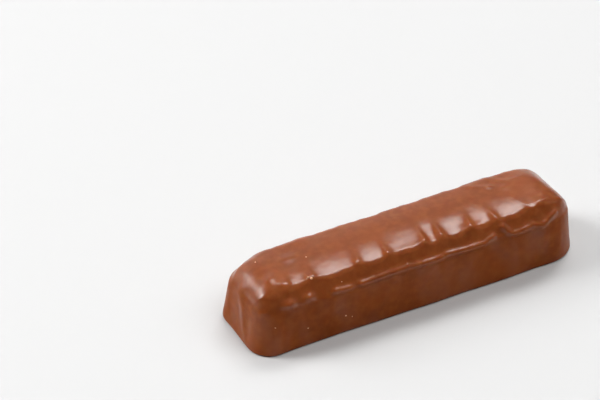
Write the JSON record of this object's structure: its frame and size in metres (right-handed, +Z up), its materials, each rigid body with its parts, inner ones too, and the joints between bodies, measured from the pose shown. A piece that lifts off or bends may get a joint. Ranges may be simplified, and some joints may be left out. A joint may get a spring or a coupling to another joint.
{
  "type": "toffee finger",
  "caption": "Bar of toffee coated in milk chocolate, with rounded edges, a rippled domed top and a flat underside, out of its wrapper.",
  "frame": {"origin": "on the flat underside, below the middle of the bar", "axes": "+X along the bar towards its rounder end, +Y across it towards the back wall, +Z up through the rippled top"},
  "size_m": [0.0527, 0.0141, 0.0101],
  "materials": {
    "milk_chocolate": "satin"
  },
  "bodies": {
    "root": {"toffee_finger": "milk_chocolate"}
  },
  "joints": []
}
